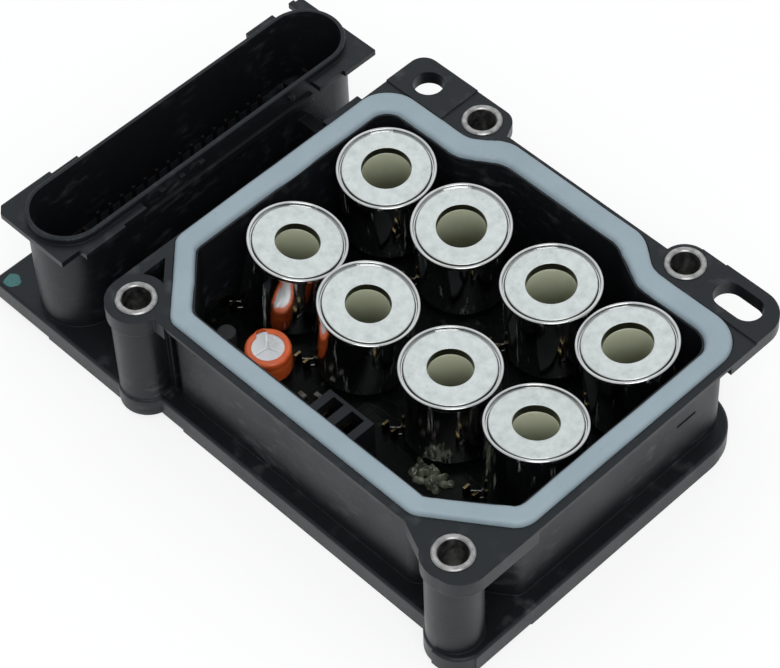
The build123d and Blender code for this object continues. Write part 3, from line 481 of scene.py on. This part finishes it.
# Painted reflection: along tall narrow streaks the cup turns less metallic and rougher, so pale vertical
# streaks stand for light reflected through the gaps.
painted_streak = noise(nickel, stretched(nickel, where, (520.0, 520.0, 42.0)), 1.0, 3.0, 0.7)
tone = blend_colours(nickel, to_range(nickel, stain, 0, 1, 0.4, 0.7), NICKEL_DEEP, NICKEL_PALE)
dulled = maths(nickel, "ADD", to_range(nickel, painted_streak, 0.0, 0.45, 0.66, 0.74),
               to_range(nickel, stain, 0.06, 0.17, 0.35, 0.7))
link(nickel, tone, shader, "Base Color")
link(nickel, dulled, shader, "Roughness")
link(nickel, to_range(nickel, painted_streak, 1.0, 0.55, 0.61, 0.74), shader, "Metallic")
relief(nickel, shader, (drag, 0.28, 0.00022))

plated, shader, where = new_finish("plated_washer")
face = make_node(plated, "UVMap", {"uv_map": "face"}).outputs[0]
bloom = noise(plated, face, 3.4, 9.0, 0.72)
hair = noise(plated, stretched(plated, face, (3.0, 95.0, 1.0), 0.5), 1.0, 6.0, 0.7)
cross = noise(plated, stretched(plated, face, (70.0, 4.0, 1.0), -0.9), 1.0, 4.0, 0.7)
pits = cell_mask(plated, face, 16.0, 0.03, 0.10)
stained = maths(plated, "MULTIPLY_ADD", pits, 0.6, to_range(plated, bloom, 0, 0.45, 0.42, 0.75))
freckle = to_range(plated, noise(plated, face, 34.0, 5.0, 0.75), 0, 0.55, 0.57, 0.72)
stained = maths(plated, "ADD", stained, freckle, clamp=True)
scratch = to_range(plated, hair, 0, 0.35, 0.62, 0.72)
stained = maths(plated, "ADD", stained, scratch, clamp=True)
# Painted shade: faces turned away from upright, the bore wall and the outer edge, are painted dark for the
# shade in the bore and in the groove round the rim.
upright = make_node(plated, "SeparateXYZ", _0=make_node(plated, "NewGeometry").outputs["Normal"]).outputs["Z"]
side = to_range(plated, upright, 1.0, 0.0, 0.45, 0.85)
tone = blend_colours(plated, side, blend_colours(plated, stained, ZINC_CLEAN, ZINC_STAINED), WASHER_WALL_SHADE)
link(plated, tone, shader, "Base Color")
link(plated, to_range(plated, bloom, 0.30, 0.46, 0.35, 0.68), shader, "Roughness")
set_values(shader, Metallic=1.0)
relief(plated, shader, (hair, 0.22, 0.00004), (cross, 0.16, 0.00004), (bloom, 0.30, 0.00025))

cream, shader, where = new_finish("bobbin_moulding")
# Painted light and shade: the bobbin is painted paler towards its top and darker lower down the bore, with a
# little random tone.
depth = make_node(cream, "SeparateXYZ", _0=where).outputs["Z"]
light = maths(cream, "MULTIPLY_ADD", to_range(cream, depth, 0.0, 1.0, -0.013, -0.003), 0.85,
              to_range(cream, noise(cream, where, 160.0, 3.0), 0.0, 0.15))
link(cream, blend_colours(cream, light, CREAM_SHADE, CREAM_LIT), shader, "Base Color")
set_values(shader, Roughness=0.28, Subsurface_Weight=0.12, Subsurface_Radius=CREAM_SCATTER)

copper_wire, shader, where = new_finish("copper_wire")
turns = make_node(copper_wire, "TexWave", {"bands_direction": "Z"}, Vector=where, Scale=650.0, Distortion=0.6)
link(copper_wire, blend_colours(copper_wire, turns.outputs[1], COPPER_DEEP, COPPER_PALE), shader, "Base Color")
set_values(shader, Metallic=0.8, Roughness=0.3)
relief(copper_wire, shader, (turns.outputs[1], 0.6, 0.0001))

for row, (row_y, leans, bore) in COIL_ROWS.items():
    tube = bore + TUBE_GAP
    washer_section = soft_line(
        [(bore, WASHER_LOW), (WASHER_R, WASHER_LOW), (WASHER_R, WASHER_TOP), (bore, WASHER_TOP)],
        [0.05, 0.1, 0.35, 0.12], 8, 8)
    bobbin_section = soft_line(
        [(tube, TUBE_LOW), (tube + TUBE_WALL, TUBE_LOW), (tube + TUBE_WALL, BOBBIN_TOP), (tube, BOBBIN_TOP)],
        [0.05, 0.05, 0.05, 0.34], 8, 10)
    for number, (column, lean) in enumerate(zip(COLUMNS, leans), 1):
        slope = np.tan(np.radians(lean))
        up = Vector((slope[0], slope[1], 1)).normalized()
        across = Vector((1, 0, -slope[0])).normalized()
        place = Matrix((across, up.cross(across), up)).transposed().to_4x4()
        place.translation = (column + SEAT * slope[0], row_y + SEAT * slope[1], 0)
        name = f"{row}_coil_{number}"
        spun = place @ Matrix.Rotation(1.3 * number + row_y, 4, "Z")
        fit(turned(f"{name}_cup", can_section, spun, 144, 0.0012, 4), nickel, "coil_can_steel", f"{name}_can")
        fit(turned(f"{name}_plate", washer_section, spun, 128), plated, "coil_washer_steel", f"{name}_washer")
        tube_end = turned(f"{name}_tube", bobbin_section, place, 96, lowest=BOBBIN_FOOT)
        fit(tube_end, cream, "bobbin_plastic", f"{name}_bobbin")
        dress(f"{name}_winding", copper_wire)

# Coil wires. Tinned copper, led along the board from the foot of each bobbin to its two tabs, where the
# ends are welded.
TIN_DEEP, TIN_PALE = (0.10, 0.10, 0.095, 1), (0.30, 0.30, 0.28, 1)

tin, shader, where = new_finish("tinned_wire")
link(tin, blend_colours(tin, noise(tin, where, 900.0, 3.0), TIN_DEEP, TIN_PALE), shader, "Base Color")
set_values(shader, Metallic=1.0, Roughness=0.35)
dress("coil_leads", tin)

# Sealant. Clots of cured silicone round the foot of the third front coil, squeezed from a nozzle, so
# that they lie over each other. They are greenish, wet looking and dusty in places.
CLOTS = ((15.6, 19.3, 1.45, 1.5), (17.8, 18.0, 1.25, 1.2), (19.4, 20.4, 1.5, 1.45), (16.9, 21.2, 1.3, 1.35),
         (21.6, 19.0, 1.2, 1.3), (22.6, 21.2, 1.3, 1.1), (14.6, 21.6, 1.0, 1.0), (17.2, 19.9, 1.2, 1.9),
         (19.9, 18.6, 1.1, 1.6), (20.9, 21.4, 1.15, 1.7), (18.3, 21.9, 1.05, 1.5))
CLOT_FOOT = -21.2
SEALANT_DEEP, SEALANT_PALE = (0.038, 0.044, 0.031, 1), (0.20, 0.215, 0.155, 1)


def clot(name, x, y, radius, height, turn):
    """A lump on the board: at angle a and share s of the way down from its top, the reach is
    radius sin(s pi/2) (1 + 0.42 cos(2a - 2 turn) + 0.10 sin(3a - 2 turn) + 0.06 sin(5a)), and the
    height is foot + height cos(s pi/2) (1 + 0.15 sin(3a + turn) sin(s pi))."""
    a = np.linspace(0, 2 * np.pi, 40, endpoint=False)[:, None]
    s = np.linspace(0, 1, 16)[None, :]
    wide = 1 + 0.42 * np.cos(2 * a - 2 * turn) + 0.10 * np.sin(3 * a - 2 * turn) + 0.06 * np.sin(5 * a)
    reach = radius * np.sin(s * np.pi / 2) * wide
    level = CLOT_FOOT + height * np.cos(s * np.pi / 2) * (1 + 0.15 * np.sin(3 * a + turn) * np.sin(s * np.pi))
    dome = np.stack([x + reach * np.cos(a), y + reach * np.sin(a), level], axis=2)
    hub = np.broadcast_to(np.array([x, y, CLOT_FOOT]), (40, 1, 3))
    return surface(name, np.concatenate([dome, hub], axis=1), closed_u=True)


cured, shader, where = new_finish("cured_sealant")
cloud = noise(cured, where, 420.0, 3.0)
tone = blend_colours(cured, to_range(cured, cloud, 0, 1, 0.38, 0.72), SEALANT_DEEP, SEALANT_PALE)
link(cured, tone, shader, "Base Color")
set_values(shader, Roughness=0.18)
relief(cured, shader, (cloud, 0.35, 0.0004))
for number, (x, y, radius, height) in enumerate(CLOTS, 1):
    lump = clot(f"sealant_clot_{number}", x, y, radius, height, 1.7 * number)
    fit(lump, cured, "sealant", "adhesive_beads")

# Seal. A bead of blue-grey silicone moulded into the groove of the flange, a little uneven in width,
# with rounded shoulders and a nearly flat crown that stands proud of the clamping face.
SEAL_OUT = [(-36.2, 0.55), (33.6, 0.55), (52.05, 13.6), (52.05, 79.0), (25.8, 79.0), (18.75, 84.55),
            (-20.5, 84.55), (-26.8, 79.0), (-52.05, 79.0), (-52.05, 16.45)]
SEAL_IN = [(-34.3, 5.2), (32.65, 5.2), (47.55, 16.4), (47.55, 73.5), (26.3, 73.5), (15.7, 79.05),
           (-16.9, 79.05), (-25.6, 73.5), (-46.7, 73.5), (-46.7, 17.6)]
OUTER_BENDS = (4.0, 5.5, 6.0, 8.3, 7.1, 7.9, 7.6, 7.6, 8.5, 4.0)
INNER_BENDS = (4.0, 4.0, 3.0, 5.5, 7.0, 7.0, 7.0, 7.0, 4.5, 3.0)
CROWN, GROOVE_FLOOR = 0.9, -1.5
SWAY = ((0.05, 7, 0.3), (0.05, 17, 1.9), (0.035, 31, 4.0), (0.02, 58, 2.2))
SWELL, SWELL_Y, SWELL_HALF, LEFT_OF = 0.3, 47, 5, -40
SILICONE_DEEP, SILICONE_PALE = (0.295, 0.375, 0.420, 1), (0.355, 0.440, 0.485, 1)
SILICONE_DUST = (0.12, 0.14, 0.15, 1)


def seal_bead(outer, inner, low, top):
    """The bead between two lines with matching points. Across it, s runs from the outer line (0) to
    the inner (1): x, y = (1 - s) outer + s inner, and z = low + (top - low)(1 - |2s - 1|^5)^(1/3).
    Along it, the lines sway by a few harmonics of the distance round, and the inner line swells in
    by 0.3 exp(-((y - 47) / 5)^4) half way along the left side."""
    share = np.linspace(0, 2 * np.pi, len(outer), endpoint=False)[:, None]
    sway = sum(size * np.sin(count * share + turn) for size, count, turn in SWAY)
    across = outer - inner
    across /= np.linalg.norm(across, axis=1, keepdims=True)
    swell = SWELL * np.exp(-((inner[:, 1:] - SWELL_Y) / SWELL_HALF) ** 4) * (inner[:, :1] < LEFT_OF)
    inner = inner + across * (sway - swell)
    outer = outer - across * 0.08 + across * 0.3 * sway
    s = (1 - np.cos(np.linspace(0, np.pi, 33))) / 2
    rise = (1 - np.abs(2 * s - 1) ** 5) ** (1 / 3)
    lift = 1 + 0.012 * np.sin(23 * share) + 0.01 * np.sin(41 * share + 1)
    line = (1 - s)[None, :, None] * outer[:, None] + s[None, :, None] * inner[:, None]
    z = low + (top - low) * rise[None, :] * lift
    return np.concatenate([line, np.minimum(z, top)[:, :, None]], axis=2)


outer = soft_line(SEAL_OUT, OUTER_BENDS, 18, 26)
inner = soft_line(SEAL_IN, INNER_BENDS, 18, 26)
bead = surface("seal_bead", seal_bead(outer, inner, GROOVE_FLOOR, CROWN), closed_u=True, closed_v=True)
silicone, shader, where = new_finish("blue_grey_silicone")
cloud = noise(silicone, where, 55.0, 5.0, 0.6)
fine = noise(silicone, where, 2200.0, 3.0)
tone = blend_colours(silicone, to_range(silicone, cloud, 0, 1, 0.3, 0.7), SILICONE_DEEP, SILICONE_PALE)
dust = cell_mask(silicone, where, 420.0, 0.03, 0.08, most=0.5)
link(silicone, blend_colours(silicone, dust, tone, SILICONE_DUST), shader, "Base Color")
link(silicone, to_range(silicone, cloud, 0.36, 0.50, 0.3, 0.7), shader, "Roughness")
set_values(shader, Specular_IOR_Level=0.45)
relief(silicone, shader, (fine, 0.25, 0.00006), (cloud, 0.3, 0.0006))
fit(bead, silicone, "seal_rubber", "gasket")

# Plug pins. Brass blades in two rows with wide ones at the ends, deep inside the shroud, painted
# nearly black for the shade they stand in.
PIN_DEEP, PIN_PALE = (0.004, 0.004, 0.004, 1), (0.009, 0.009, 0.008, 1)

dull, shader, where = new_finish("pin_tin_painted_shade")
link(dull, blend_colours(dull, noise(dull, where, 500.0, 3.0), PIN_DEEP, PIN_PALE), shader, "Base Color")
set_values(shader, Specular_IOR_Level=0.15, Roughness=0.6)
dress("connector_pins", dull)

# Studio. A white table under two soft round lamps, a wide weak one behind and a smaller, stronger one in
# front at the right, with even light all round, and a long lens from above the front right corner. The
# table lights nothing with its glow, and can be seen through from below.
FLOOR_HALF, FLOOR_Z = 3, -0.03302
FLOOR_GLOW = 0.775
FLOOR_SEEN, FLOOR_LIT = (0.26, 0.26, 0.26, 1), (0.8, 0.8, 0.8, 1)
SKY_COLOUR, SKY_STRENGTH = (0.96, 0.98, 1.0, 1), 0.62
LAMPS = (("overhead_softbox", 1.3, 1.6, (-0.35, 0.45, 0.95)), ("side_softbox", 0.7, 4.2, (0.60, -0.40, 0.9)))
LAMPS_AIM = Vector((0, 0.04, 0))
LENS, SENSOR = 139.94, 36.0
CAMERA_AT = (0.2842, -0.2337, 0.4770)
CAMERA_RIGHT, CAMERA_UP = Vector((0.7036, 0.7101, -0.0293)), Vector((-0.5383, 0.5593, 0.6305))

corners = [(x * FLOOR_HALF, y * FLOOR_HALF, FLOOR_Z) for x, y in ((-1, -1), (1, -1), (1, 1), (-1, 1))]
table = bpy.data.meshes.new("table")
table.from_pydata(corners, [], [(0, 1, 2, 3)])
table = bpy.data.objects.new("table", table)
bpy.context.collection.objects.link(table)
paper, shader, where = new_finish("white_paper")
rays = make_node(paper, "LightPath").outputs
seen = maths(paper, "ADD", rays["Is Camera Ray"], rays["Is Glossy Ray"])
seen = maths(paper, "ADD", seen, rays["Is Transmission Ray"], clamp=True)
glow = make_node(paper, "Emission", Color=(1, 1, 1, 1), Strength=FLOOR_GLOW).outputs[0]
matt = make_node(paper, "BsdfDiffuse", Color=FLOOR_SEEN).outputs[0]
pale = make_node(paper, "BsdfDiffuse", Color=FLOOR_LIT).outputs[0]
both = make_node(paper, "AddShader", _0=glow, _1=matt).outputs[0]
mixed = make_node(paper, "MixShader", _0=seen, _1=pale, _2=both).outputs[0]
below = make_node(paper, "NewGeometry").outputs["Backfacing"]
clear = make_node(paper, "BsdfTransparent").outputs[0]
one_sided = make_node(paper, "MixShader", _0=below, _1=mixed, _2=clear).outputs[0]
link(paper, one_sided, paper.node_tree.nodes["Material Output"], "Surface")
paper.node_tree.nodes.remove(shader)
table.data.materials.append(paper)

world = bpy.data.worlds.new("studio")
bpy.context.scene.world = world
world.use_nodes = True
around = world.node_tree.nodes["Background"]
set_values(around, Color=SKY_COLOUR, Strength=SKY_STRENGTH)
white = make_node(world, "Background").outputs[0]
camera_ray = make_node(world, "LightPath").outputs["Is Camera Ray"]
choose = make_node(world, "MixShader", _0=camera_ray, _1=around.outputs[0], _2=white).outputs[0]
link(world, choose, world.node_tree.nodes["World Output"], "Surface")

for name, size, energy, spot in LAMPS:
    lamp = bpy.data.lights.new(name, "AREA")
    lamp.shape, lamp.size, lamp.energy = "DISK", size, energy
    lamp = bpy.data.objects.new(name, lamp)
    lamp.location = spot
    lamp.rotation_euler = (LAMPS_AIM - lamp.location).to_track_quat("-Z", "Y").to_euler()
    bpy.context.collection.objects.link(lamp)

camera = bpy.data.cameras.new("camera")
camera.lens, camera.sensor_width, camera.clip_start, camera.clip_end = LENS, SENSOR, 0.01, 20.0
camera = bpy.data.objects.new("camera", camera)
aim = Matrix((CAMERA_RIGHT, CAMERA_UP, CAMERA_RIGHT.cross(CAMERA_UP))).transposed().to_4x4()
aim.translation = CAMERA_AT
camera.matrix_world = aim
bpy.context.collection.objects.link(camera)
bpy.context.scene.camera = camera
bpy.context.scene.view_settings.view_transform = "Standard"
